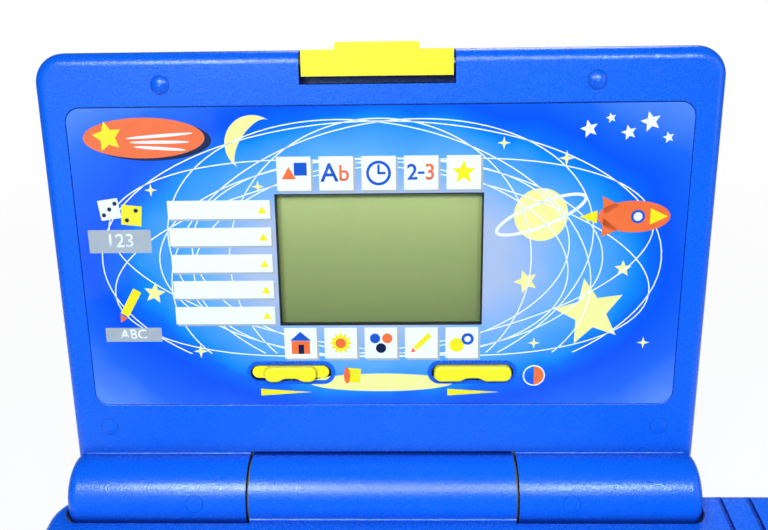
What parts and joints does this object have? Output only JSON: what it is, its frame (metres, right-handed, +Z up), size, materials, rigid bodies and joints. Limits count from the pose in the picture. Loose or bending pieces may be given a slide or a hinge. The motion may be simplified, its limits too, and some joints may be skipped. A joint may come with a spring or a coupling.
{
  "type": "toy laptop computer",
  "caption": "Blue toy laptop with a hinged lid, small grey display in a printed faceplate, yellow latch and rockers, a keyboard with travelling keys and a speaker console.",
  "frame": {"origin": "on the floor under the middle of the object's outer box", "axes": "+X to the user's right along the hinge, +Y away from the user, +Z up"},
  "size_m": [0.328, 0.251, 0.2132],
  "materials": {
    "blue_abs": "fine spark-eroded moulding grain",
    "yellow_abs": "satin moulded",
    "printed_sheet": "glossy, printed on the back",
    "clear_window": "clear, polished",
    "display_glass": "grey-green reflective display",
    "circuit_board": "brown paper laminate",
    "steel": "zinc plated",
    "silicone": "translucent grey",
    "black_rubber": "matte",
    "cell_sleeve": "printed sleeve over a light cell",
    "nickel": "nickel plated",
    "speaker_frame": "black painted",
    "cable_sleeve": "grey sleeve",
    "orange_abs": "satin moulded"
  },
  "bodies": {
    "base": {"base_top_cover": "blue_abs", "base_bottom_tray": "blue_abs", "battery_door": "blue_abs", "battery_cells": "cell_sleeve", "battery_contacts": "nickel", "main_board": "circuit_board", "key_dome_mat": "silicone", "speaker_driver": "speaker_frame", "rubber_feet": "black_rubber", "base_screws": "steel", "hinge_pins": "steel", "hinge_washers": "yellow_abs", "hinge_cover": "blue_abs", "hinge_housing": "blue_abs", "latch_catch": "yellow_abs", "main_cable": "cable_sleeve"},
    "lid": {"lid_bezel": "blue_abs", "lid_rear_cover": "blue_abs", "faceplate": "printed_sheet", "lcd_window": "clear_window", "lcd_panel": "display_glass", "display_board": "circuit_board", "lid_bumpers": "blue_abs", "screw_plugs": "blue_abs", "lid_screws": "steel", "latch_pin": "steel", "display_cable": "cable_sleeve"},
    "latch": {"latch_flap": "yellow_abs"},
    "volume_rocker": {"volume_rocker": "yellow_abs"},
    "contrast_rocker": {"contrast_rocker": "yellow_abs"},
    "key_q": {"key_q": "yellow_abs"},
    "key_w": {"key_w": "yellow_abs"},
    "key_e": {"key_e": "yellow_abs"},
    "key_r": {"key_r": "yellow_abs"},
    "key_t": {"key_t": "yellow_abs"},
    "key_y": {"key_y": "yellow_abs"},
    "key_u": {"key_u": "yellow_abs"},
    "key_i": {"key_i": "yellow_abs"},
    "key_o": {"key_o": "yellow_abs"},
    "key_p": {"key_p": "yellow_abs"},
    "key_a": {"key_a": "yellow_abs"},
    "key_s": {"key_s": "yellow_abs"},
    "key_d": {"key_d": "yellow_abs"},
    "key_f": {"key_f": "yellow_abs"},
    "key_g": {"key_g": "yellow_abs"},
    "key_h": {"key_h": "yellow_abs"},
    "key_j": {"key_j": "yellow_abs"},
    "key_k": {"key_k": "yellow_abs"},
    "key_l": {"key_l": "yellow_abs"},
    "key_z": {"key_z": "yellow_abs"},
    "key_x": {"key_x": "yellow_abs"},
    "key_c": {"key_c": "yellow_abs"},
    "key_v": {"key_v": "yellow_abs"},
    "key_b": {"key_b": "yellow_abs"},
    "key_n": {"key_n": "yellow_abs"},
    "key_m": {"key_m": "yellow_abs"},
    "key_enter": {"key_enter": "orange_abs"},
    "key_space": {"key_space": "yellow_abs"},
    "power_on": {"power_on": "yellow_abs"},
    "power_off": {"power_off": "orange_abs"}
  },
  "joints": [
    {"name": "lid_hinge", "type": "hinge", "parent": "base", "child": "lid", "pos_m": [-0.024, 0.06448, 0.0348], "axis": [1, 0, 0], "range_deg": [0, 105]},
    {"name": "latch_hinge", "type": "hinge", "parent": "lid", "child": "latch", "pos_m": [-0.024, 0.1186, 0.20354], "axis": [-1, 0, 0], "range_deg": [0, 8], "stiffness_Nm_per_rad": 0.3, "springref_deg": -5.73},
    {"name": "volume_rocker_tilt", "type": "hinge", "parent": "lid", "child": "volume_rocker", "pos_m": [-0.0613, 0.08354, 0.08508], "axis": [0, 0.2588, 0.9659], "range_deg": [-4, 4], "stiffness_Nm_per_rad": 0.2},
    {"name": "contrast_rocker_tilt", "type": "hinge", "parent": "lid", "child": "contrast_rocker", "pos_m": [0.0133, 0.08354, 0.08508], "axis": [0, 0.2588, 0.9659], "range_deg": [-4, 4], "stiffness_Nm_per_rad": 0.2},
    {"name": "key_q_press", "type": "slide", "parent": "base", "child": "key_q", "axis": [0, 0, -1], "range_m": [0, 0.002], "stiffness_N_per_m": 250, "springref_m": -0.001},
    {"name": "key_w_press", "type": "slide", "parent": "base", "child": "key_w", "axis": [0, 0, -1], "range_m": [0, 0.002], "stiffness_N_per_m": 250, "springref_m": -0.001},
    {"name": "key_e_press", "type": "slide", "parent": "base", "child": "key_e", "axis": [0, 0, -1], "range_m": [0, 0.002], "stiffness_N_per_m": 250, "springref_m": -0.001},
    {"name": "key_r_press", "type": "slide", "parent": "base", "child": "key_r", "axis": [0, 0, -1], "range_m": [0, 0.002], "stiffness_N_per_m": 250, "springref_m": -0.001},
    {"name": "key_t_press", "type": "slide", "parent": "base", "child": "key_t", "axis": [0, 0, -1], "range_m": [0, 0.002], "stiffness_N_per_m": 250, "springref_m": -0.001},
    {"name": "key_y_press", "type": "slide", "parent": "base", "child": "key_y", "axis": [0, 0, -1], "range_m": [0, 0.002], "stiffness_N_per_m": 250, "springref_m": -0.001},
    {"name": "key_u_press", "type": "slide", "parent": "base", "child": "key_u", "axis": [0, 0, -1], "range_m": [0, 0.002], "stiffness_N_per_m": 250, "springref_m": -0.001},
    {"name": "key_i_press", "type": "slide", "parent": "base", "child": "key_i", "axis": [0, 0, -1], "range_m": [0, 0.002], "stiffness_N_per_m": 250, "springref_m": -0.001},
    {"name": "key_o_press", "type": "slide", "parent": "base", "child": "key_o", "axis": [0, 0, -1], "range_m": [0, 0.002], "stiffness_N_per_m": 250, "springref_m": -0.001},
    {"name": "key_p_press", "type": "slide", "parent": "base", "child": "key_p", "axis": [0, 0, -1], "range_m": [0, 0.002], "stiffness_N_per_m": 250, "springref_m": -0.001},
    {"name": "key_a_press", "type": "slide", "parent": "base", "child": "key_a", "axis": [0, 0, -1], "range_m": [0, 0.002], "stiffness_N_per_m": 250, "springref_m": -0.001},
    {"name": "key_s_press", "type": "slide", "parent": "base", "child": "key_s", "axis": [0, 0, -1], "range_m": [0, 0.002], "stiffness_N_per_m": 250, "springref_m": -0.001},
    {"name": "key_d_press", "type": "slide", "parent": "base", "child": "key_d", "axis": [0, 0, -1], "range_m": [0, 0.002], "stiffness_N_per_m": 250, "springref_m": -0.001},
    {"name": "key_f_press", "type": "slide", "parent": "base", "child": "key_f", "axis": [0, 0, -1], "range_m": [0, 0.002], "stiffness_N_per_m": 250, "springref_m": -0.001},
    {"name": "key_g_press", "type": "slide", "parent": "base", "child": "key_g", "axis": [0, 0, -1], "range_m": [0, 0.002], "stiffness_N_per_m": 250, "springref_m": -0.001},
    {"name": "key_h_press", "type": "slide", "parent": "base", "child": "key_h", "axis": [0, 0, -1], "range_m": [0, 0.002], "stiffness_N_per_m": 250, "springref_m": -0.001},
    {"name": "key_j_press", "type": "slide", "parent": "base", "child": "key_j", "axis": [0, 0, -1], "range_m": [0, 0.002], "stiffness_N_per_m": 250, "springref_m": -0.001},
    {"name": "key_k_press", "type": "slide", "parent": "base", "child": "key_k", "axis": [0, 0, -1], "range_m": [0, 0.002], "stiffness_N_per_m": 250, "springref_m": -0.001},
    {"name": "key_l_press", "type": "slide", "parent": "base", "child": "key_l", "axis": [0, 0, -1], "range_m": [0, 0.002], "stiffness_N_per_m": 250, "springref_m": -0.001},
    {"name": "key_z_press", "type": "slide", "parent": "base", "child": "key_z", "axis": [0, 0, -1], "range_m": [0, 0.002], "stiffness_N_per_m": 250, "springref_m": -0.001},
    {"name": "key_x_press", "type": "slide", "parent": "base", "child": "key_x", "axis": [0, 0, -1], "range_m": [0, 0.002], "stiffness_N_per_m": 250, "springref_m": -0.001},
    {"name": "key_c_press", "type": "slide", "parent": "base", "child": "key_c", "axis": [0, 0, -1], "range_m": [0, 0.002], "stiffness_N_per_m": 250, "springref_m": -0.001},
    {"name": "key_v_press", "type": "slide", "parent": "base", "child": "key_v", "axis": [0, 0, -1], "range_m": [0, 0.002], "stiffness_N_per_m": 250, "springref_m": -0.001},
    {"name": "key_b_press", "type": "slide", "parent": "base", "child": "key_b", "axis": [0, 0, -1], "range_m": [0, 0.002], "stiffness_N_per_m": 250, "springref_m": -0.001},
    {"name": "key_n_press", "type": "slide", "parent": "base", "child": "key_n", "axis": [0, 0, -1], "range_m": [0, 0.002], "stiffness_N_per_m": 250, "springref_m": -0.001},
    {"name": "key_m_press", "type": "slide", "parent": "base", "child": "key_m", "axis": [0, 0, -1], "range_m": [0, 0.002], "stiffness_N_per_m": 250, "springref_m": -0.001},
    {"name": "key_enter_press", "type": "slide", "parent": "base", "child": "key_enter", "axis": [0, 0, -1], "range_m": [0, 0.002], "stiffness_N_per_m": 250, "springref_m": -0.001},
    {"name": "key_space_press", "type": "slide", "parent": "base", "child": "key_space", "axis": [0, 0, -1], "range_m": [0, 0.002], "stiffness_N_per_m": 250, "springref_m": -0.001},
    {"name": "power_on_press", "type": "slide", "parent": "base", "child": "power_on", "axis": [0, 0, -1], "range_m": [0, 0.002], "stiffness_N_per_m": 250, "springref_m": -0.001},
    {"name": "power_off_press", "type": "slide", "parent": "base", "child": "power_off", "axis": [0, 0, -1], "range_m": [0, 0.002], "stiffness_N_per_m": 250, "springref_m": -0.001}
  ]
}
